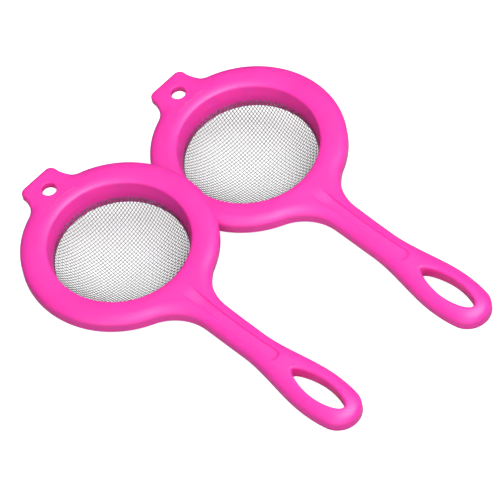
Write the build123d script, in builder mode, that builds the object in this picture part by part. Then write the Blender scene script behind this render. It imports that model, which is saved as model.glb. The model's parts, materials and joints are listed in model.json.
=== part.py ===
"""A pair of hand strainers, lying one over the edge of the other.

Each strainer is one plastic moulding, a frame with its handle and hook tab,
and a domed sieve of woven wire that is moulded into the wall of its collar.
Both are drawn once, in a strainer's own frame: the top of the rim is the XY
plane, the handle runs along +X and the bowl hangs below.  Two copies are then
laid on the ground with equal tilts, the upper rim over the lower one.
Lengths are in millimetres.
"""

import os
from math import asin, atan2, cos, degrees, hypot, radians, sin, sqrt, tan

from build123d import *

# Rim and collar
rim_radius = 55.0
rim_height = 8.8
rim_round = 2.8
skirt_wall = 2.2
roof_wall = 2.8
mouth_radius = 39.9
mouth_round = 3.0
collar_wall = 2.2
foot_radius = 37.4
foot_depth = 16.0

# Sieve
wire_diameter = 0.42
dome_radius = 46.5
sieve_depth = 11.8
sieve_embedded = 2.2

# Handle
handle_reach = 180.3
waist_at = 103.0
waist_half = 8.3
bulge_at = 153.8
bulge_half = 14.1
end_radius = 12.9
end_turn = 78.0
neck_radius = 28.0

# Finger hole in the handle
finger_start = 132.8
finger_widest = 153.9
finger_end = 171.7
finger_half = 6.1
finger_point = 0.45
finger_round = 1.2

# Thumb channel in the top of the handle
channel_start = 57.0
channel_end = 122.0
channel_rim = 5.2
channel_half_start = 4.1
channel_half_end = 3.9
channel_depth = 1.2

# Hook tab
tab_reach = 66.5
tab_half = 12.5
tab_corner = 4.2
tab_root_radius = 11.5
tab_thickness = 4.9
hang_at = 54.9
hang_radius = 4.2

# Ribs under the moulding
rib_thickness = 1.6
ring_ribs = 12
handle_ribs = 4
rib_pitch = 17.0

# How the two strainers lie
side_gap = 0.6
rest_gap = 0.4
stagger = -3.3
settle_steps = 30

# How far a cutting solid runs past the face that it opens
cut_over = 1.0

sieve_thickness = 2 * wire_diameter
collar_slope = (mouth_radius - foot_radius) / (foot_depth - mouth_round)
sieve_radius = mouth_radius - (sieve_depth - mouth_round) * collar_slope
dome_centre = sqrt(dome_radius**2 - sieve_radius**2) - sieve_depth
dome_outside = dome_radius + sieve_thickness / 2
hang_boss = 2 * (hang_radius + skirt_wall)
diagonal = sqrt(0.5)


def mouth_at(z):
    """Inside radius of the collar at a height below its rounded mouth."""
    return mouth_radius + (z + mouth_round) * collar_slope


def flare(half_width, radius, inset):
    """The arc that runs from the rim's circle into a straight side at half_width.

    Returns its start on the rim, its middle and its end on the side, for a
    limb that points along +X.
    """
    rim = rim_radius - inset
    side = half_width - inset
    bend = radius + inset
    centre = Vector(sqrt((rim + bend) ** 2 - (side + bend) ** 2), side + bend)
    start = centre * (rim / (rim + bend))
    end = Vector(centre.X, side)
    middle = centre + ((start + end) * 0.5 - centre).normalized() * bend
    return start, middle, end


def handle_outline(inset):
    """Half of the handle's plan, from where it leaves the rim round to its tip."""
    start, middle, end = flare(waist_half, neck_radius, inset)
    tip_radius = end_radius - inset
    tip_centre = handle_reach - end_radius
    turn = radians(end_turn)
    shoulder = Vector(tip_centre + tip_radius * cos(turn), tip_radius * sin(turn))
    over = Vector(tip_centre + tip_radius * cos(turn / 2), tip_radius * sin(turn / 2))
    waist = Vector(waist_at, waist_half - inset)
    bulge = Vector(bulge_at, bulge_half - inset)
    swell = Vector((bulge_at - waist_at) / 3, 0)
    close = (shoulder - bulge).length / 3
    Line((start.X, 0), start)
    ThreePointArc(start, middle, end)
    Line(end, waist)
    Bezier(waist, waist + swell, bulge - swell, bulge)
    Bezier(bulge, bulge + (close, 0), shoulder - Vector(sin(turn), -cos(turn)) * close, shoulder)
    ThreePointArc(shoulder, over, (tip_centre + tip_radius, 0))
    Line((tip_centre + tip_radius, 0), (start.X, 0))


def tab_outline(inset):
    """Half of the hook tab's plan, drawn along +X."""
    start, middle, end = flare(tab_half, tab_root_radius, inset)
    corner = Vector(tab_reach - tab_corner, tab_half - tab_corner)
    bend = tab_corner - inset
    Line((start.X, 0), start)
    ThreePointArc(start, middle, end)
    Line(end, corner + (0, bend))
    ThreePointArc(corner + (0, bend), corner + Vector(bend, bend) * diagonal, corner + (bend, 0))
    Line(corner + (bend, 0), (corner.X + bend, 0))
    Line((corner.X + bend, 0), (start.X, 0))


def finger_outline(inset):
    """Half of the finger hole's plan."""
    first = Vector(finger_start + inset, 0)
    widest = Vector(finger_widest, finger_half - inset)
    last = Vector(finger_end - inset, 0)
    Spline(first, widest, tangents=((0, 1), (1, 0)), tangent_scalars=(finger_point, 1))
    Spline(widest, last, tangents=((1, 0), (0, -1)))
    Line(last, first)


def channel_outline(inset):
    """Half of the thumb channel's plan: narrowest where the handle is."""
    first = Vector(channel_start + inset, channel_half_start - inset)
    narrow = Vector(waist_at, waist_half - channel_rim - inset)
    bend = channel_half_end - inset
    end_centre = Vector(channel_end - channel_half_end, 0)
    last = end_centre + (0, bend)
    Line((first.X, 0), first)
    Spline(first, narrow, last)
    ThreePointArc(last, end_centre + Vector(bend, bend) * diagonal, end_centre + (bend, 0))
    Line(end_centre + (bend, 0), (first.X, 0))


def whole_plan(half_outline, inset=0.0):
    """The plan that a half outline and its mirror image make, drawn in by an inset."""
    with BuildSketch() as plan:
        with BuildLine():
            half_outline(inset)
        make_face()
        mirror(about=Plane.XZ)
    return plan.sketch


def is_finger_edge(edge):
    """Whether an edge of the top face runs round the finger hole."""
    middle = edge.center(CenterOf.BOUNDING_BOX)
    return finger_start <= middle.X <= finger_end and abs(middle.Y) <= finger_half


# The plans that the moulding is drawn with
handle_plan = whole_plan(handle_outline)
handle_inside = whole_plan(handle_outline, skirt_wall)
tab_plan = whole_plan(tab_outline).rotate(Axis.Z, 180)
finger_plan = whole_plan(finger_outline)
finger_wall = whole_plan(finger_outline, -skirt_wall)
channel_plan = whole_plan(channel_outline)

# The sieve: a dome that runs on into the collar's wall
edge_angle = asin(sieve_radius / dome_radius)
edge_way = Vector(cos(edge_angle), sin(edge_angle)) * sieve_embedded
inner_face = dome_radius - sieve_thickness / 2
with BuildSketch(Plane.XZ) as sieve_profile:
    with BuildLine():
        for face in (inner_face, dome_outside):
            edge = Vector(face * sin(edge_angle), dome_centre - face * cos(edge_angle))
            middle = Vector(face * sin(edge_angle / 2), dome_centre - face * cos(edge_angle / 2))
            ThreePointArc((0, dome_centre - face), middle, edge)
            Line(edge, edge + edge_way)
        Line(edge + edge_way, edge + edge_way - Vector(sin(edge_angle), -cos(edge_angle)) * sieve_thickness)
        Line((0, dome_centre - inner_face), (0, dome_centre - dome_outside))
    make_face()

with BuildPart() as sieve:
    add(sieve_profile.sketch)
    revolve(axis=Axis.Z)

# The moulding: rim, handle and tab as one plate with a rolled edge
with BuildPart() as frame:
    with BuildSketch():
        Circle(rim_radius)
        add(handle_plan)
        add(tab_plan)
    extrude(amount=-rim_height)
    fillet(frame.edges().group_by(Axis.Z)[-1], rim_round)

    # Cored out from below, with walls left round the edge and the holes, and ribs across
    with BuildSketch(Plane.XY.offset(-rim_height)):
        Circle(rim_radius - skirt_wall)
        add(handle_inside)
        add(finger_wall, mode=Mode.SUBTRACT)
        with PolarLocations(rim_radius / 2, ring_ribs, start_angle=180 / ring_ribs):
            Rectangle(rim_radius, rib_thickness, mode=Mode.SUBTRACT)
        with Locations((waist_at - rib_pitch / 2, 0)):
            with GridLocations(rib_pitch, 0, handle_ribs, 1):
                Rectangle(rib_thickness, 2 * bulge_half, mode=Mode.SUBTRACT)
        with Locations((-hang_at, 0)):
            Rectangle(hang_boss, hang_boss, mode=Mode.SUBTRACT)
    extrude(amount=rim_height - roof_wall, mode=Mode.SUBTRACT)

    # The tab is thinner than the rim, and the rim is relieved under the hook hole
    with BuildSketch(Plane.XY.offset(-rim_height)):
        with Locations((-rim_radius - tab_reach / 2, 0)):
            Rectangle(tab_reach, 4 * tab_half)
        Circle(rim_radius, mode=Mode.SUBTRACT)
        with Locations((-hang_at, 0)):
            Rectangle(hang_boss, hang_boss)
    extrude(amount=rim_height - tab_thickness, mode=Mode.SUBTRACT)

    # The collar, from the rim down to its foot
    with BuildSketch(Plane.XZ):
        with BuildLine():
            Polyline(
                (mouth_at(-mouth_round) + collar_wall, -roof_wall / 2),
                (mouth_at(-mouth_round), -roof_wall / 2),
                (foot_radius, -foot_depth),
                (foot_radius + collar_wall, -foot_depth),
                close=True,
            )
        make_face()
    revolve(axis=Axis.Z)

    # The mouth, with a rounded lip, and the open bowl under it
    with BuildSketch(Plane.XZ):
        with BuildLine():
            lip = mouth_radius + mouth_round
            Polyline((0, rim_height), (lip, rim_height), (lip, 0))
            RadiusArc((lip, 0), (mouth_radius, -mouth_round), -mouth_round)
            Polyline((mouth_radius, -mouth_round), (foot_radius, -foot_depth), (0, -foot_depth))
            Line((0, -foot_depth), (0, rim_height))
        make_face()
    revolve(axis=Axis.Z, mode=Mode.SUBTRACT)

    # The slot that the sieve's edge is moulded into
    add(sieve.part, mode=Mode.SUBTRACT)

    # The finger hole, with its upper edge rounded, and the hook hole
    with BuildSketch(Plane.XY.offset(-rim_height - cut_over)):
        add(finger_plan)
        with Locations((-hang_at, 0)):
            Circle(hang_radius)
    extrude(amount=rim_height + 2 * cut_over, mode=Mode.SUBTRACT)
    fillet(frame.edges().group_by(Axis.Z)[-1].filter_by(is_finger_edge), finger_round)

    # The thumb channel
    with BuildSketch(Plane.XY.offset(-channel_depth)):
        add(channel_plan)
    extrude(amount=channel_depth + cut_over, mode=Mode.SUBTRACT)

# How the pair lies: equal tilts, with both bowls and both handle ends on the ground.
# In a strainer's own frame the upper one sits one rim higher and a rim to the side.
stack = rim_height + rest_gap
collar_reach = max(mouth_at(-rim_height), foot_radius) + collar_wall
spacing = rim_radius + collar_reach + side_gap
end_centre = handle_reach - end_radius
end_below = rim_height + dome_centre
pitch = 0.0
roll = 0.0
for step in range(settle_steps):
    roll = atan2(stack, spacing) - asin(stagger * tan(pitch) / hypot(spacing, stack))
    end_drop = end_radius * hypot(sin(pitch), cos(pitch) * sin(roll))
    pitch = asin((dome_outside - end_below * cos(pitch) * cos(roll) - end_drop) / end_centre)

tilt = Location((0, 0, 0), (0, degrees(pitch), 0)) * Location((0, 0, 0), (degrees(roll), 0, 0))
places = {"lower": tilt, "upper": tilt * Location((stagger, -spacing, stack))}
pieces = {}
for level, place in places.items():
    pieces[level + "_frame"] = frame.part.moved(place)
    pieces[level + "_sieve"] = sieve.part.moved(place)

# The origin is on the ground, under the middle of the pair
pair = Compound(list(pieces.values())).bounding_box()
centre = pair.center()
to_origin = Location((-centre.X, -centre.Y, -pair.min.Z))

os.makedirs("parts", exist_ok=True)
for name, piece in pieces.items():
    piece = piece.moved(to_origin)
    piece.label = name
    export_step(piece, "parts/" + name + ".step")

print("pitch and roll in degrees:", round(degrees(pitch), 2), round(degrees(roll), 2))
print("spacing and stack:", round(spacing, 2), round(stack, 2))
print("pair measures:", pair.size)
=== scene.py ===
"""A pair of pink hand strainers with woven wire bowls, one lying over the edge of the other."""

import json
from math import asin, atan2, cos, degrees, pi, radians, sin, sqrt

import bmesh
import bpy
import numpy as np
from mathutils import Matrix, Vector


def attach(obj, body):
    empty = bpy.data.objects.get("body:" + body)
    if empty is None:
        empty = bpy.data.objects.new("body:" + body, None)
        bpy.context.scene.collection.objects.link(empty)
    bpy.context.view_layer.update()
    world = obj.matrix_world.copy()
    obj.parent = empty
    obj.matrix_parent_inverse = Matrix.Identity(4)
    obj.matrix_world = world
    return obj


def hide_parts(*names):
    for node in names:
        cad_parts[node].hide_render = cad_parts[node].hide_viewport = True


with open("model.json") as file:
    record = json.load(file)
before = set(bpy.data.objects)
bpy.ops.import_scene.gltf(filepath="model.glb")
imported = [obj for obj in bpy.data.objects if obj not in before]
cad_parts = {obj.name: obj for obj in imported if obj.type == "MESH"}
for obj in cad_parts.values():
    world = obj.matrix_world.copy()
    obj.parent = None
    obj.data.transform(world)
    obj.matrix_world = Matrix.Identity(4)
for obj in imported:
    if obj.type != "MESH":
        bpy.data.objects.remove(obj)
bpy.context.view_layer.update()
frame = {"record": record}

# How a strainer lies.  Each strainer is drawn in its own frame, in millimetres: the
# top of its rim is z = 0, its handle runs along +x and its bowl hangs below.  The hook
# hole in the record gives the tilt and the place: its axis is the strainer's own z, and
# the handle has no sideways turn.
HANG_AT = 54.9
TAB_THICKNESS = 4.9
METRE = 1000.0
LEVELS = ("lower", "upper")


def lie(level):
    """The rim's centre in metres, and the strainer's own x, y and z as the rows of a matrix."""
    hole = next(m for m in frame["record"]["mounts"] if m["name"] == level + "_hang_hole")
    up = np.array(hole["axis"]) / np.linalg.norm(hole["axis"])
    along = np.array([up[2], 0.0, -up[0]])
    along /= np.linalg.norm(along)
    across = np.cross(up, along)
    centre = np.array(hole["pos_m"]) + (HANG_AT * along + TAB_THICKNESS / 2 * up) / METRE
    return centre, np.array([along, across, up])


def lay(points, level):
    """Points in a strainer's own millimetres, as metres in the common frame."""
    centre, axes = lie(level)
    return centre + np.asarray(points) @ axes / METRE


# The moulding's plan.  One shot of polypropylene makes the rim, the handle and the hook
# tab.  Its outline is a chain of lines, arcs and curves from the middle of the tab's end,
# over the left side, to the handle's tip.  The right side is its mirror image.
RIM_RADIUS = 55.0
TAB_REACH = 66.5
TAB_HALF = 12.5
TAB_CORNER = 4.2
TAB_ROOT = 11.5
NECK_RADIUS = 28.0
WAIST_AT = 103.0
WAIST_HALF = 8.3
BULGE_AT = 153.8
BULGE_HALF = 14.1
HANDLE_REACH = 180.3
END_RADIUS = 12.9
END_TURN = 78.0
HANG_RADIUS = 4.2
FINGER_START = 132.8
FINGER_WIDEST = 153.9
FINGER_END = 171.7
FINGER_HALF = 6.1
FINGER_BLUNT_START = 2.2
FINGER_BLUNT_END = 3.2
FINGER_SWELL_START = 10.5
FINGER_SWELL_END = 8.4


def line(start, end):
    """A straight piece: start + (end - start) t."""
    start, end = np.array(start), np.array(end)
    return lambda t: start + (end - start) * t[:, None]


def arc(centre, radius, first, last):
    """A round piece, turning evenly from one angle to the other, in degrees."""

    def piece(t):
        turn = np.radians(first + (last - first) * t)
        return np.array(centre) + radius * np.stack([np.cos(turn), np.sin(turn)], 1)

    return piece


def curve(start, leave, arrive, end):
    """A cubic Bezier piece with two handles."""
    ends = [np.array(p) for p in (start, leave, arrive, end)]

    def piece(t):
        t = t[:, None]
        weights = ((1 - t) ** 3, 3 * t * (1 - t) ** 2, 3 * t * t * (1 - t), t**3)
        return sum(w * p for w, p in zip(weights, ends))

    return piece


def follow(chain, places):
    """Points along a chain: a place's whole part picks the piece, its fraction the point."""
    which = np.minimum(places.astype(int), len(chain) - 1)
    points = np.zeros((len(places), 2))
    for number, piece in enumerate(chain):
        here = which == number
        points[here] = piece(places[here] - number)
    return points


def left_normals(chain, places):
    """Unit vectors square to the chain, on its left as it is followed."""
    step = 1e-4
    ahead = follow(chain, np.minimum(places + step, len(chain)))
    way = ahead - follow(chain, np.maximum(places - step, 0))
    way /= np.linalg.norm(way, axis=1)[:, None]
    return np.stack([-way[:, 1], way[:, 0]], 1)


def flare_centre(half, bend):
    """Centre of the arc that touches the rim's circle and a side at half from the axis."""
    return sqrt((RIM_RADIUS + bend) ** 2 - (half + bend) ** 2), half + bend


def plan_outline():
    """The left half of the outline, as a chain of ten pieces."""
    tab_x, tab_y = flare_centre(TAB_HALF, TAB_ROOT)
    neck_x, neck_y = flare_centre(WAIST_HALF, NECK_RADIUS)
    tab_turn = degrees(atan2(tab_y, tab_x))
    neck_turn = degrees(atan2(neck_y, neck_x))
    tip = HANDLE_REACH - END_RADIUS
    turn = radians(END_TURN)
    shoulder = np.array([tip + END_RADIUS * cos(turn), END_RADIUS * sin(turn)])
    bulge = np.array([BULGE_AT, BULGE_HALF])
    swell = np.array([(BULGE_AT - WAIST_AT) / 3, 0])
    close = np.linalg.norm(shoulder - bulge) / 3
    arrive = shoulder - close * np.array([sin(turn), -cos(turn)])
    return [
        line((-TAB_REACH, 0), (-TAB_REACH, TAB_HALF - TAB_CORNER)),
        arc((TAB_CORNER - TAB_REACH, TAB_HALF - TAB_CORNER), TAB_CORNER, 180, 90),
        line((TAB_CORNER - TAB_REACH, TAB_HALF), (-tab_x, TAB_HALF)),
        arc((-tab_x, tab_y), TAB_ROOT, -90, -tab_turn),
        arc((0, 0), RIM_RADIUS, 180 - tab_turn, neck_turn),
        arc((neck_x, neck_y), NECK_RADIUS, 180 + neck_turn, 270),
        line((neck_x, WAIST_HALF), (WAIST_AT, WAIST_HALF)),
        curve((WAIST_AT, WAIST_HALF), (WAIST_AT + swell[0], WAIST_HALF), bulge - swell, bulge),
        curve(bulge, bulge + (close, 0), arrive, shoulder),
        arc((tip, 0), END_RADIUS, END_TURN, 0),
    ]


def finger_hole(pad):
    """The left half of the finger hole's outline, grown by pad, as one piece."""
    widest = (FINGER_WIDEST, FINGER_HALF)
    first = curve((FINGER_START, 0), (FINGER_START, FINGER_BLUNT_START),
                  (FINGER_WIDEST - FINGER_SWELL_START, FINGER_HALF), widest)
    second = curve(widest, (FINGER_WIDEST + FINGER_SWELL_END, FINGER_HALF),
                   (FINGER_END, FINGER_BLUNT_END), (FINGER_END, 0))

    def piece(t):
        return follow([first, second], 2 * t) + pad * left_normals([first, second], 2 * t)

    return piece


def inner_path(hang_pad, mouth, finger_pad):
    """What the outline faces across the plastic: the three openings, joined by the axis."""
    hang = HANG_RADIUS + hang_pad
    return [
        arc((-HANG_AT, 0), hang, 180, 0),
        line((hang - HANG_AT, 0), (-mouth, 0)),
        arc((0, 0), mouth, 180, 0),
        line((mouth, 0), (FINGER_START - finger_pad, 0)),
        finger_hole(finger_pad),
    ]


# Pairs of places, on the outline and on the inner path, that face each other
FACING = np.array([
    (0.0, 0.0), (1.0, 0.25), (2.0, 0.44), (3.0, 0.48), (4.0, 0.84), (4.06, 1.0), (4.1, 2.0),
    (4.4, 2.4), (4.76, 2.66), (5.0, 2.91), (5.3, 3.0), (6.0, 3.37), (7.0, 3.65), (7.62, 4.0),
    (8.0, 4.5), (9.0, 4.86), (10.0, 5.0),
])
PLAN_STEP = 0.75
outline = plan_outline()


def plan_places():
    """Places along the outline, about a step apart, that take in every facing pair."""
    places = []
    for start, end in zip(FACING[:-1, 0], FACING[1:, 0]):
        fine = follow(outline, np.linspace(start, end, 60))
        length = np.linalg.norm(np.diff(fine, axis=0), axis=1).sum()
        places.append(np.linspace(start, end, max(3, round(length / PLAN_STEP)), endpoint=False))
    return np.append(np.concatenate(places), len(outline))


places = plan_places()
facing = np.interp(places, FACING[:, 0], FACING[:, 1])
edge = follow(outline, places)
inward = -left_normals(outline, places)

# The moulding's top.  It is flat in the middle and rolls over into an upright skirt.  The
# thumb channel is a shallow scoop with steep sides that fades out at the neck.
RIM_HEIGHT = 8.8
ROLL_WIDTH = 6.8
ROLL_DROP = 3.3
TAB_ROLL_WIDTH = 2.6
TAB_ROLL_DROP = 1.5
HANDLE_ROLL_WIDTH = 8.2
HANDLE_ROLL_DROP = 4.4
TAB_FROM = 52.0
TAB_BLEND = 6.0
HANDLE_FROM = 62.0
HANDLE_BLEND = 30.0
CHANNEL_DEPTH = 1.4
CHANNEL_WALL = 0.8
CHANNEL_FADE = (50.0, 66.0)
CHANNEL_END = 122.0
CHANNEL_HALF_END = 3.9
CHANNEL_WAIST = 88.0
CHANNEL_HALF_WAIST = 3.0
CHANNEL_DISH = 0.25
MOUTH_RADIUS = 39.9
LIP_WIDTH = 6.4
LIP_DROP = 1.8
FINGER_ROUND = 1.5
HANG_ROUND = 0.6


def smooth(value):
    """0 below 0, 1 above 1, and 3 v^2 - 2 v^3 between."""
    value = np.clip(value, 0, 1)
    return value * value * (3 - 2 * value)


def channel_half(x):
    """Half the channel's width: it grows from the waist as the square of the way to the end."""
    way = (x - CHANNEL_WAIST) / (CHANNEL_END - CHANNEL_HALF_END - CHANNEL_WAIST)
    return CHANNEL_HALF_WAIST + (CHANNEL_HALF_END - CHANNEL_HALF_WAIST) * np.minimum(way * way, 1)


def channel_drop(x, y):
    """How deep the channel is: full past its wall, and dished across its floor."""
    beyond = np.maximum(x - (CHANNEL_END - CHANNEL_HALF_END), 0)
    half = channel_half(x)
    inside = half - np.hypot(y, beyond)
    fade = smooth((x - CHANNEL_FADE[0]) / (CHANNEL_FADE[1] - CHANNEL_FADE[0]))
    dish = 1 - CHANNEL_DISH + CHANNEL_DISH * np.clip(inside / half, 0, 1)
    return CHANNEL_DEPTH * fade * dish * smooth(inside / CHANNEL_WALL)


def to_outline(points):
    """Distance of each point from the outline, taken over its short straight steps."""
    start, end = edge[:-1], edge[1:]
    along = end - start
    rows = []
    for some in np.array_split(points, 40):
        offset = some[:, None] - start
        t = np.clip((offset * along).sum(2) / (along * along).sum(1), 0, 1)
        rows.append(np.linalg.norm(offset - t[..., None] * along, axis=2).min(1))
    return np.concatenate(rows)


def roll_size(x):
    """Width and drop of the rolled edge, which is tighter on the tab and wider on the handle."""
    tab = smooth((-x - TAB_FROM) / TAB_BLEND)
    handle = smooth((x - HANDLE_FROM) / HANDLE_BLEND)
    width = ROLL_WIDTH
    width = width + (TAB_ROLL_WIDTH - ROLL_WIDTH) * tab + (HANDLE_ROLL_WIDTH - ROLL_WIDTH) * handle
    drop = ROLL_DROP
    drop = drop + (TAB_ROLL_DROP - ROLL_DROP) * tab + (HANDLE_ROLL_DROP - ROLL_DROP) * handle
    return width, drop


def top_height(points):
    """Height of the top: a quarter of an ellipse by distance from the outline, less the channel."""
    x, y = points.T
    width, drop = roll_size(x)
    rest = np.clip(1 - to_outline(points) / width, 0, 1)
    return -drop * (1 - np.sqrt(1 - rest * rest)) - channel_drop(x, y)


def across_top():
    """The top as a grid: along the outline, and from it to the inner path.

    The first columns follow the roll square to the outline.  The others go straight to the
    inner path, and crowd where the channel's wall is.
    """
    inner = follow(inner_path(HANG_ROUND, MOUTH_RADIUS + LIP_WIDTH, FINGER_ROUND), facing)
    turns = np.radians(np.linspace(0, 45, 7))
    width = roll_size(edge[:, 0])[0]
    columns = [edge + inward * (width * (1 - cos(turn)))[:, None] for turn in turns]
    start = columns.pop()
    reach = np.linalg.norm(inner - start, axis=1)
    wall = 1 - channel_half(start[:, 0]) / np.maximum(start[:, 1], 1e-6)
    on_handle = smooth((facing - 2.95) / 0.15) * smooth((4.02 - facing) / 0.05)
    wall = 0.5 + (np.clip(wall, 0.15, 0.85) - 0.5) * on_handle
    half_band = np.minimum(0.55 * CHANNEL_WALL / reach, 0.12)
    stops = [np.zeros_like(wall), wall - 0.3 * half_band, wall + 1.7 * half_band, np.ones_like(wall)]
    for first, last, count in zip(stops[:-1], stops[1:], (7, 6, 6)):
        for share in np.linspace(0, 1, count, endpoint=False):
            fraction = first + (last - first) * share
            columns.append(start + (inner - start) * fraction[:, None])
    columns.append(inner)
    grid = np.stack(columns, 1)
    height = top_height(grid.reshape(-1, 2)).reshape(grid.shape[:2])
    return np.dstack([grid, height])


# The moulding's underside.  The skirt's foot is rounded, and the rim and handle are cored
# out behind it, as a moulder would to keep the walls even.  The tab is solid and thinner.
SKIRT_WALL = 2.2
ROOF = -2.8
FOOT_ROUND = 0.5
COLLAR_WALL = 2.2
SLAB_AT = 47.3
SLAB_HALF = 9.0
SLAB_EDGE = 0.8


def roof_height(points):
    """Height of the underside: the roof of the core, stepping down to the tab's slab."""
    x, y = points.T
    boss = smooth((-x - SLAB_AT) / SLAB_EDGE) * smooth((SLAB_HALF - np.abs(y)) / SLAB_EDGE)
    slab = np.maximum(boss, smooth((-x - RIM_RADIUS) / SLAB_EDGE))
    return ROOF - (TAB_THICKNESS + ROOF) * slab


def skirt():
    """The skirt as a grid: down the outside, round the foot, and up the inside to the roof."""
    top = top_height(edge)
    foot = -TAB_THICKNESS - (RIM_HEIGHT - TAB_THICKNESS) * smooth(places - 3)
    inside = edge + inward * (SKIRT_WALL + FOOT_ROUND)
    roof = roof_height(inside)
    wall = roof - foot
    bend = FOOT_ROUND * np.clip(wall, 0, 1)
    rows = []
    for share in np.linspace(0, 1, 5):
        rows.append((0.0 * share, top + (foot + FOOT_ROUND - top) * share))
    for turn in np.radians([30, 60, 90]):
        rows.append((FOOT_ROUND * (1 - cos(turn)), foot + FOOT_ROUND * (1 - sin(turn))))
    for turn in np.radians([0, 30, 60, 90]):
        rows.append((SKIRT_WALL - FOOT_ROUND * (1 - sin(turn)), foot + bend * (1 - cos(turn))))
    rows.append((SKIRT_WALL, roof - bend))
    for turn in np.radians([30, 60, 90]):
        rows.append((SKIRT_WALL + FOOT_ROUND * (1 - cos(turn)), roof - bend * (1 - sin(turn))))
    return np.stack([np.column_stack([edge + inward * inset, height]) for inset, height in rows], 1)


def across_underside():
    """The underside as a grid, from the skirt's inside to the collar, the axis and the holes."""
    inner = follow(inner_path(HANG_ROUND, collar_outside(ROOF), SKIRT_WALL), facing)
    start = edge + inward * (SKIRT_WALL + FOOT_ROUND)
    grid = np.stack([start + (inner - start) * share for share in np.linspace(0, 1, 15)], 1)
    height = roof_height(grid.reshape(-1, 2)).reshape(grid.shape[:2])
    return np.dstack([grid, height])


def hole_side(piece_number, pad_top, pad_under, rows):
    """A hole's side as a grid: rows of outset and height, carried along the hole's outline."""
    here = (facing >= piece_number) & (facing <= piece_number + 1)
    along = facing[here] - piece_number
    sections = []
    for pad, height in rows:
        path = inner_path(pad, MOUTH_RADIUS, pad)[piece_number]
        sections.append((path(along), height))
    top = top_height(inner_path(pad_top, MOUTH_RADIUS, pad_top)[piece_number](along))
    under = roof_height(inner_path(pad_under, MOUTH_RADIUS, pad_under)[piece_number](along))
    return np.stack([
        np.column_stack([points, top + (under - top) * height]) for points, height in sections
    ], 1)


def rounded_side(pad_top, pad_under, depth, drop_top, drop_under):
    """Rows for a hole with a rounded lip above and below, as outsets and shares of the depth."""
    rows = []
    for turn in np.radians([0, 15, 30, 45, 60, 75, 90]):
        rows.append((pad_top * (1 - sin(turn)), drop_top * (1 - cos(turn)) / depth))
    for turn in np.radians([0, 30, 60, 90]):
        rows.append((pad_under * (1 - cos(turn)), 1 - drop_under * (1 - sin(turn)) / depth))
    return rows


def hang_side():
    """The hook hole's side, through the tab."""
    return hole_side(0, HANG_ROUND, HANG_ROUND,
                     rounded_side(HANG_ROUND, HANG_ROUND, TAB_THICKNESS, HANG_ROUND, HANG_ROUND))


def finger_side():
    """The finger hole's side: rolled lip, inside, foot, and up behind the wall to the roof."""
    depth = -ROOF
    foot = RIM_HEIGHT
    rows = []
    for turn in np.radians([0, 15, 30, 45, 60, 75, 90]):
        rows.append((FINGER_ROUND * (1 - sin(turn)), FINGER_ROUND * (1 - cos(turn))))
    rows.append((0, 0.5 * (FINGER_ROUND + foot)))
    for turn in np.radians([0, 45, 90]):
        rows.append((FOOT_ROUND * (1 - cos(turn)), foot - FOOT_ROUND * (1 - sin(turn))))
    for turn in np.radians([0, 45, 90]):
        rows.append((SKIRT_WALL - FOOT_ROUND * (1 - sin(turn)), foot - FOOT_ROUND * (1 - cos(turn))))
    rows.append((SKIRT_WALL, depth))
    return hole_side(4, FINGER_ROUND, SKIRT_WALL, [(pad, drop / depth) for pad, drop in rows])


# The collar.  Below the mouth's wide soft lip the wall leans in like a funnel, down to a
# knee.  Below the knee it is nearly upright, and the sieve is moulded into it there.
FOOT_RADIUS = 37.4
FOOT_DEPTH = 16.0
KNEE_RADIUS = 38.3
KNEE_DEPTH = 7.7
SIEVE_DEPTH = 11.8


def collar_outside(z):
    """Outside radius of the collar at a height: a wall outside a straight taper, lip to foot."""
    share = (z + FOOT_DEPTH) / (FOOT_DEPTH - LIP_DROP)
    return FOOT_RADIUS + COLLAR_WALL + (MOUTH_RADIUS - FOOT_RADIUS) * share


def wall_inside(z):
    """Inside radius of the collar at a height: straight from lip to knee, and from knee to foot."""
    heights = (-FOOT_DEPTH, -KNEE_DEPTH, -LIP_DROP)
    return np.interp(z, heights, (FOOT_RADIUS, KNEE_RADIUS, MOUTH_RADIUS))


def collar():
    """The collar as a grid: its section, from the lip round to the roof, turned about the axis."""
    here = (facing >= 2) & (facing <= 3)
    turn = pi * (3 - facing[here])
    section = []
    for lip in np.radians(np.linspace(0, 80, 14)):
        section.append((MOUTH_RADIUS + LIP_WIDTH * (1 - sin(lip)), -LIP_DROP * (1 - cos(lip))))
    bottom = -FOOT_DEPTH
    for z in np.linspace(-LIP_DROP, -KNEE_DEPTH, 8)[1:]:
        section.append((wall_inside(z), z))
    for z in np.linspace(-KNEE_DEPTH, bottom + FOOT_ROUND, 8)[1:]:
        section.append((wall_inside(z), z))
    for lip in np.radians([30, 60, 90]):
        inset, rise = FOOT_ROUND * (1 - cos(lip)), FOOT_ROUND * (1 - sin(lip))
        section.append((FOOT_RADIUS + inset, bottom + rise))
    outside = collar_outside(bottom + FOOT_ROUND)
    for lip in np.radians([0, 30, 60, 90]):
        section.append((outside - FOOT_ROUND * (1 - sin(lip)), bottom + FOOT_ROUND * (1 - cos(lip))))
    for z in np.linspace(bottom + FOOT_ROUND, ROOF, 8)[1:]:
        section.append((collar_outside(z), z))
    section = np.array(section)
    radius, height = section.T
    x = np.cos(turn)[:, None] * radius
    y = np.sin(turn)[:, None] * radius
    return np.dstack([x, y, np.broadcast_to(height, x.shape)])


# The ribs under the rim and the handle keep them stiff.  Each is a thin tapered web that
# runs from wall to wall, with its ends sunk in them.
RIB_HALF = 0.8
RIB_ROOF = 0.25
RING_RIBS = 12
HANDLE_RIBS = 4
RIB_PITCH = 17.0
RIB_SINK = 0.6
RIB_FLARE = 0.2


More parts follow.
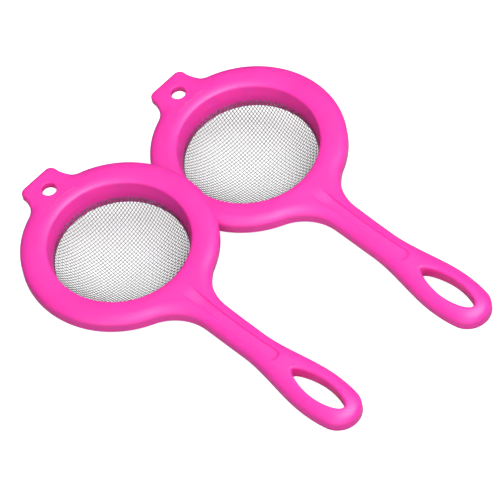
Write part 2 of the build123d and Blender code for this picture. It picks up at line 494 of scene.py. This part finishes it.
def rib(start, end):
    """A web: a tapered section with a rounded foot, carried from start to end and capped."""
    start, end = np.array(start, float), np.array(end, float)
    way = (end - start) / np.linalg.norm(end - start)
    side = np.array([-way[1], way[0]])
    top, foot = ROOF + RIB_ROOF, -RIM_HEIGHT + RIB_ROOF
    bend = np.radians([180, 225, 270, 315, 360])
    root = RIB_HALF + RIB_FLARE
    across = np.concatenate([[-root], RIB_HALF * np.cos(bend), [root]])
    height = np.concatenate([[top], foot + RIB_HALF * (1 + np.sin(bend)), [top]])
    rings = []
    for at, size in ((0, 0), (0, 1), (0.33, 1), (0.67, 1), (1, 1), (1, 0)):
        plan = start + (end - start) * at + side * (across * size)[:, None]
        rings.append(np.column_stack([plan, (top + foot) / 2 + (height - (top + foot) / 2) * size]))
    ring = np.stack(rings)
    return np.concatenate([ring, ring[:, :1]], 1)


def ribs():
    """Every rib: evenly round the rim, and a pitch apart along the handle."""
    made = []
    inner = collar_outside(-RIM_HEIGHT) - RIB_SINK
    for number in range(RING_RIBS):
        turn = 2 * pi * (number + 0.5) / RING_RIBS
        way = np.array([cos(turn), sin(turn)])
        outer = RIM_RADIUS - SKIRT_WALL + RIB_SINK
        made.append(rib(way * inner, way * outer))
    for number in range(HANDLE_RIBS):
        x = WAIST_AT + (number - HANDLE_RIBS / 2) * RIB_PITCH
        half = np.interp(x, edge[:, 0][places > 5], edge[:, 1][places > 5]) - SKIRT_WALL + RIB_SINK
        made.append(rib((x, -half), (x, half)))
    return made


def add_grid(grid, corners, faces):
    """Adds a grid's corners and its four-sided faces to the lists."""
    rows, columns = grid.shape[:2]
    number = np.arange(rows * columns).reshape(rows, columns) + sum(len(c) for c in corners)
    quads = np.stack([number[:-1, :-1], number[1:, :-1], number[1:, 1:], number[:-1, 1:]], -1)
    corners.append(grid.reshape(-1, 3))
    faces.append(quads.reshape(-1, 4))


def clean_mesh(name, points, faces, merge):
    """A smooth mesh with its seams merged, its empty faces dropped and its normals outwards."""
    mesh = bpy.data.meshes.new(name)
    mesh.from_pydata(points, [], faces)
    shape = bmesh.new()
    shape.from_mesh(mesh)
    bmesh.ops.remove_doubles(shape, verts=shape.verts, dist=merge)
    bmesh.ops.dissolve_degenerate(shape, edges=shape.edges, dist=merge / 4)
    bmesh.ops.recalc_face_normals(shape, faces=shape.faces)
    shape.to_mesh(mesh)
    shape.free()
    mesh.shade_smooth()
    return mesh


def moulding(level, material):
    """The whole moulding, as one closed mesh in its place."""
    corners, faces = [], []
    for grid in (across_top(), skirt(), across_underside(), hang_side(), finger_side(), collar()):
        add_grid(grid, corners, faces)
        add_grid(grid * (1, -1, 1), corners, faces)
    for web in ribs():
        add_grid(web, corners, faces)
    points = lay(np.concatenate(corners), level)
    mesh = clean_mesh(level + "_moulding", points, np.concatenate(faces), 0.02 / METRE)
    piece = bpy.data.objects.new(level + "_moulding", mesh)
    bpy.context.scene.collection.objects.link(piece)
    mesh.materials.append(material)
    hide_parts(level + "_frame")
    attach(piece, level)


# The plastic.  It is dyed through and a little translucent.  The melt's flow leaves slow,
# faint changes of shade and gloss, and the mould's steel leaves a very fine grain.
FLOW_SCALE = 38.0
FLOW_DETAIL = 3.0
PINK_DEEP = (0.90, 0.036, 0.37, 1.0)
PINK_PALE = (0.96, 0.046, 0.43, 1.0)
GLOSS = (0.36, 0.48)
GRAIN_SCALE = 2400.0
GRAIN_DETAIL = 2.0
GRAIN_STRENGTH = 0.12
GRAIN_HEIGHT = 0.00005
MILKINESS = 0.5
LIGHT_DEPTH = 0.006
DEPTH_BY_COLOUR = (1.0, 0.2, 0.6)


def drift_group():
    """A node group for slow changes over a surface, both driven by one noise f from 0 to 1.

    The colour is first + (second - first) f, and the roughness is low + (high - low) f.
    """
    group = bpy.data.node_groups.new("drift", "ShaderNodeTree")
    for name, kind in (("Place", "Vector"), ("Scale", "Float"), ("Detail", "Float"),
                       ("First", "Color"), ("Second", "Color"), ("Low", "Float"), ("High", "Float")):
        group.interface.new_socket(name, in_out="INPUT", socket_type="NodeSocket" + kind)
    group.interface.new_socket("Colour", in_out="OUTPUT", socket_type="NodeSocketColor")
    group.interface.new_socket("Roughness", in_out="OUTPUT", socket_type="NodeSocketFloat")
    nodes, links = group.nodes, group.links
    given = nodes.new("NodeGroupInput")
    result = nodes.new("NodeGroupOutput")
    noise = nodes.new("ShaderNodeTexNoise")
    colour = nodes.new("ShaderNodeMix")
    colour.data_type = "RGBA"
    gloss = nodes.new("ShaderNodeMapRange")
    links.new(given.outputs["Place"], noise.inputs["Vector"])
    links.new(given.outputs["Scale"], noise.inputs["Scale"])
    links.new(given.outputs["Detail"], noise.inputs["Detail"])
    links.new(noise.outputs["Fac"], colour.inputs[0])
    links.new(given.outputs["First"], colour.inputs[6])
    links.new(given.outputs["Second"], colour.inputs[7])
    links.new(noise.outputs["Fac"], gloss.inputs["Value"])
    links.new(given.outputs["Low"], gloss.inputs["To Min"])
    links.new(given.outputs["High"], gloss.inputs["To Max"])
    links.new(colour.outputs[2], result.inputs["Colour"])
    links.new(gloss.outputs["Result"], result.inputs["Roughness"])
    return group


drift = drift_group()


def add_drift(material, where, scale, detail, first, second, gloss):
    """Places the group in a material, with the material's own values."""
    nodes, links = material.node_tree.nodes, material.node_tree.links
    shader = nodes["Principled BSDF"]
    change = nodes.new("ShaderNodeGroup")
    change.node_tree = drift
    change.inputs["Scale"].default_value = scale
    change.inputs["Detail"].default_value = detail
    change.inputs["First"].default_value = first
    change.inputs["Second"].default_value = second
    change.inputs["Low"].default_value, change.inputs["High"].default_value = gloss
    links.new(where.outputs["Object"], change.inputs["Place"])
    links.new(change.outputs["Colour"], shader.inputs["Base Color"])
    links.new(change.outputs["Roughness"], shader.inputs["Roughness"])


def pink_plastic():
    """Pink polypropylene, satin-glossy, dyed through, with a faint moulded texture."""
    material = bpy.data.materials.new("pink_plastic")
    material.use_nodes = True
    nodes, links = material.node_tree.nodes, material.node_tree.links
    shader = nodes["Principled BSDF"]
    where = nodes.new("ShaderNodeTexCoord")
    add_drift(material, where, FLOW_SCALE, FLOW_DETAIL, PINK_DEEP, PINK_PALE, GLOSS)
    grain = nodes.new("ShaderNodeTexNoise")
    grain.inputs["Scale"].default_value = GRAIN_SCALE
    grain.inputs["Detail"].default_value = GRAIN_DETAIL
    bump = nodes.new("ShaderNodeBump")
    bump.inputs["Strength"].default_value = GRAIN_STRENGTH
    bump.inputs["Distance"].default_value = GRAIN_HEIGHT
    links.new(where.outputs["Object"], grain.inputs["Vector"])
    links.new(grain.outputs["Fac"], bump.inputs["Height"])
    links.new(bump.outputs["Normal"], shader.inputs["Normal"])
    shader.inputs["Subsurface Weight"].default_value = MILKINESS
    shader.inputs["Subsurface Radius"].default_value = DEPTH_BY_COLOUR
    shader.inputs["Subsurface Scale"].default_value = LIGHT_DEPTH
    return material


plastic = pink_plastic()
for level in LEVELS:
    moulding(level, plastic)

# The sieve.  A square of plain woven steel wire is pressed into a dome, and its edge is
# moulded into the collar above the foot.  Pressed cloth keeps its wires' spacing, so the
# wires swing together into diamonds towards the corners of the weave.
DOME_RADIUS = 46.5
SIEVE_RADIUS = wall_inside(-SIEVE_DEPTH)
DOME_CENTRE = sqrt(DOME_RADIUS**2 - SIEVE_RADIUS**2) - SIEVE_DEPTH
WIRE_RADIUS = 0.19
WIRE_PITCH = 1.71
WEAVE_TURN = -3.5
WIRE_CAUGHT = 1.3
WIRE_SIDES = 6
STEPS_A_PITCH = 4


def woven_net():
    """Where the wires cross, as a square net on the unit sphere about the dome's centre.

    The two middle wires are great circles.  Every other crossing makes a rhombus with three
    that are known: it is the first one mirrored in the plane of the other two.
    """
    reach = int(DOME_RADIUS * asin(SIEVE_RADIUS / DOME_RADIUS) / WIRE_PITCH) + 3
    net = np.zeros((reach + 1, reach + 1, 3))
    turn = 2 * asin(WIRE_PITCH / 2 / DOME_RADIUS) * np.arange(reach + 1)
    net[:, 0] = np.stack([np.sin(turn), 0 * turn, -np.cos(turn)], 1)
    net[0, :] = np.stack([0 * turn, np.sin(turn), -np.cos(turn)], 1)
    for diagonal in range(2, 2 * reach + 1):
        i = np.arange(max(1, diagonal - reach), min(reach, diagonal - 1) + 1)
        j = diagonal - i
        mirror = np.cross(net[i - 1, j], net[i, j - 1])
        mirror /= np.linalg.norm(mirror, axis=1)[:, None]
        first = net[i - 1, j - 1]
        net[i, j] = first - 2 * (first * mirror).sum(1)[:, None] * mirror
    right = np.concatenate([net[:, :0:-1] * (1, -1, 1), net], 1)
    return np.concatenate([right[:0:-1] * (-1, 1, 1), right])


def wires(net, name, level, material, side):
    """One set of wires: each follows a row of the net and goes over and under in turn."""
    count = len(net)
    middle = count // 2
    at = np.arange(0, (count - 1) * STEPS_A_PITCH + 1) / STEPS_A_PITCH
    low = np.minimum(at.astype(int), count - 2)
    share = (at - low)[:, None]
    axis = net[:, low] * (1 - share) + net[:, low + 1] * share
    axis /= np.linalg.norm(axis, axis=2)[..., None]
    row = np.arange(count)[:, None]
    crimp = side * WIRE_RADIUS * np.cos(pi * (at + row - middle))
    path = axis * (DOME_RADIUS + crimp)[..., None]
    caught = asin(SIEVE_RADIUS / DOME_RADIUS) + WIRE_CAUGHT / DOME_RADIUS
    kept = axis[..., 2] < -cos(caught)
    way = np.gradient(path, axis=1)
    way /= np.linalg.norm(way, axis=2)[..., None]
    flat = np.cross(way, axis)
    flat /= np.linalg.norm(flat, axis=2)[..., None]
    out = np.cross(flat, way)
    about = 2 * pi * np.arange(WIRE_SIDES)[:, None] / WIRE_SIDES
    section = np.cos(about) * flat[:, :, None] + np.sin(about) * out[:, :, None]
    rings = path[:, :, None] + WIRE_RADIUS * section
    number = np.arange(rings[..., 0].size).reshape(rings.shape[:3])
    both = kept[:, :-1] & kept[:, 1:]
    a, b = number[:, :-1][both], number[:, 1:][both]
    faces = np.stack([a, b, np.roll(b, -1, 1), np.roll(a, -1, 1)], -1).reshape(-1, 4).tolist()
    for one, keep in zip(number, kept):
        if keep.sum() > 1:
            ends = np.flatnonzero(keep)[[0, -1]]
            faces += [one[ends[0]].tolist(), one[ends[1]][::-1].tolist()]
    turn = radians(WEAVE_TURN)
    swing = np.array([[cos(turn), sin(turn), 0], [-sin(turn), cos(turn), 0], [0, 0, 1]])
    points = lay(rings.reshape(-1, 3) @ swing + (0, 0, DOME_CENTRE), level)
    mesh = bpy.data.meshes.new(name)
    mesh.from_pydata(points, [], faces)
    shape = bmesh.new()
    shape.from_mesh(mesh)
    bmesh.ops.delete(shape, geom=[v for v in shape.verts if not v.link_faces], context="VERTS")
    bmesh.ops.recalc_face_normals(shape, faces=shape.faces)
    shape.to_mesh(mesh)
    shape.free()
    mesh.shade_smooth()
    mesh.materials.append(material)
    piece = bpy.data.objects.new(name, mesh)
    bpy.context.scene.collection.objects.link(piece)
    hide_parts(level + "_sieve")
    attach(piece, level)


# The wire.  It is stainless steel, drawn and then washed, so it is a plain mid grey with
# a soft shine that varies along its length.
WEAR_SCALE = 420.0
WEAR_DETAIL = 4.0
STEEL_DARK = (0.13, 0.14, 0.15, 1.0)
STEEL_LIGHT = (0.24, 0.25, 0.26, 1.0)
STEEL_GLOSS = (0.28, 0.45)


def steel_wire():
    """Drawn stainless wire: the shade and the gloss change slowly from place to place."""
    material = bpy.data.materials.new("steel_wire")
    material.use_nodes = True
    nodes = material.node_tree.nodes
    where = nodes.new("ShaderNodeTexCoord")
    add_drift(material, where, WEAR_SCALE, WEAR_DETAIL, STEEL_DARK, STEEL_LIGHT, STEEL_GLOSS)
    nodes["Principled BSDF"].inputs["Metallic"].default_value = 1.0
    return material


steel = steel_wire()
net = woven_net()
for level in LEVELS:
    wires(net, level + "_warp_wires", level, steel, 1)
    wires(net.transpose(1, 0, 2), level + "_weft_wires", level, steel, -1)

# The floor is a white acrylic sheet that glows.  The light is soft: a small panel high up
# behind the handles, a large low one on the near side, and a white room, nearly even.
FLOOR_HALF = 3.0
FLOOR_GLOW = 0.95
FLOOR_WHITE = 0.5
FLOOR_BOUNCE = 0.4
ROOM_LOW = 1.05
ROOM_HIGH = 1.15
ROOM_FROM = 0.1
ROOM_TO = 0.9


def white_acrylic():
    """Opal sheet that glows faintly from below, and passes little light on to what stands on it."""
    material = bpy.data.materials.new("white_acrylic")
    material.use_nodes = True
    nodes, links = material.node_tree.nodes, material.node_tree.links
    shader = nodes["Principled BSDF"]
    shader.inputs["Roughness"].default_value = 0.9
    shader.inputs["Specular IOR Level"].default_value = 0.0
    shader.inputs["Emission Color"].default_value = (1, 1, 1, 1)
    path = nodes.new("ShaderNodeLightPath")
    seen = nodes.new("ShaderNodeMapRange")
    seen.inputs["To Min"].default_value = FLOOR_BOUNCE
    seen.inputs["To Max"].default_value = FLOOR_WHITE
    links.new(path.outputs["Is Camera Ray"], seen.inputs["Value"])
    links.new(seen.outputs["Result"], shader.inputs["Base Color"])
    glow = nodes.new("ShaderNodeMath")
    glow.operation = "MULTIPLY"
    glow.inputs[1].default_value = FLOOR_GLOW
    links.new(path.outputs["Is Camera Ray"], glow.inputs[0])
    links.new(glow.outputs[0], shader.inputs["Emission Strength"])
    return material


def floor():
    """A flat square under the pair, at the height they rest on."""
    corners = [(-FLOOR_HALF, -FLOOR_HALF, 0), (FLOOR_HALF, -FLOOR_HALF, 0),
               (FLOOR_HALF, FLOOR_HALF, 0), (-FLOOR_HALF, FLOOR_HALF, 0)]
    mesh = bpy.data.meshes.new("floor")
    mesh.from_pydata(corners, [], [(0, 1, 2, 3)])
    mesh.materials.append(white_acrylic())
    sheet = bpy.data.objects.new("floor", mesh)
    bpy.context.scene.collection.objects.link(sheet)


def panel(name, azimuth, elevation, distance, size, watts):
    """A square light that faces the middle of the pair, from a direction in degrees."""
    light = bpy.data.lights.new(name, "AREA")
    light.size = size
    light.energy = watts
    lamp = bpy.data.objects.new(name, light)
    bpy.context.scene.collection.objects.link(lamp)
    turn, rise = radians(azimuth), radians(elevation)
    back = Vector((cos(rise) * cos(turn), cos(rise) * sin(turn), sin(rise)))
    lamp.location = back * distance
    lamp.rotation_mode = "QUATERNION"
    lamp.rotation_quaternion = back.to_track_quat("Z", "Y")


def room():
    """A sky that brightens a little, straight with height, from the horizon to the zenith."""
    world = bpy.data.worlds.new("room")
    world.use_nodes = True
    nodes, links = world.node_tree.nodes, world.node_tree.links
    where = nodes.new("ShaderNodeTexCoord")
    parts = nodes.new("ShaderNodeSeparateXYZ")
    rise = nodes.new("ShaderNodeMapRange")
    rise.inputs["From Min"].default_value = ROOM_FROM
    rise.inputs["From Max"].default_value = ROOM_TO
    rise.inputs["To Min"].default_value = ROOM_LOW
    rise.inputs["To Max"].default_value = ROOM_HIGH
    links.new(where.outputs["Generated"], parts.inputs[0])
    links.new(parts.outputs["Z"], rise.inputs["Value"])
    links.new(rise.outputs["Result"], nodes["Background"].inputs["Strength"])
    bpy.context.scene.world = world


floor()
room()
panel("key", 25, 68, 1.0, 0.7, 12.0)
panel("fill", -45, 32, 1.6, 2.0, 20.0)
bpy.context.scene.view_settings.view_transform = "Standard"

# The camera stands over the upper strainer's bowl side, turned so that the handles run
# down to the right.
VIEW_BACK = (0.4813, -0.3453, 0.8057)
VIEW_RIGHT = (0.7079, 0.6952, -0.1250)
VIEW_DISTANCE = 4.0
VIEW_WIDTH = 0.273
AIM_RIGHT = 0.0717
AIM_UP = -0.0052
SENSOR = 36.0


def make_camera():
    """A long lens, aimed to the right of the upper rim's centre, with both strainers in view."""
    centre, axes = lie("upper")
    back = np.array(VIEW_BACK) @ axes
    back /= np.linalg.norm(back)
    right = np.array(VIEW_RIGHT) @ axes
    right -= back * (right @ back)
    right /= np.linalg.norm(right)
    up = np.cross(back, right)
    place = centre + right * AIM_RIGHT + up * AIM_UP + back * VIEW_DISTANCE
    data = bpy.data.cameras.new("camera")
    data.sensor_width = SENSOR
    data.lens = SENSOR * VIEW_DISTANCE / VIEW_WIDTH
    camera = bpy.data.objects.new("camera", data)
    bpy.context.scene.collection.objects.link(camera)
    turned = np.eye(4)
    turned[:3, :3] = np.stack([right, up, back], 1)
    turned[:3, 3] = place
    camera.matrix_world = Matrix(turned)
    bpy.context.scene.camera = camera


make_camera()
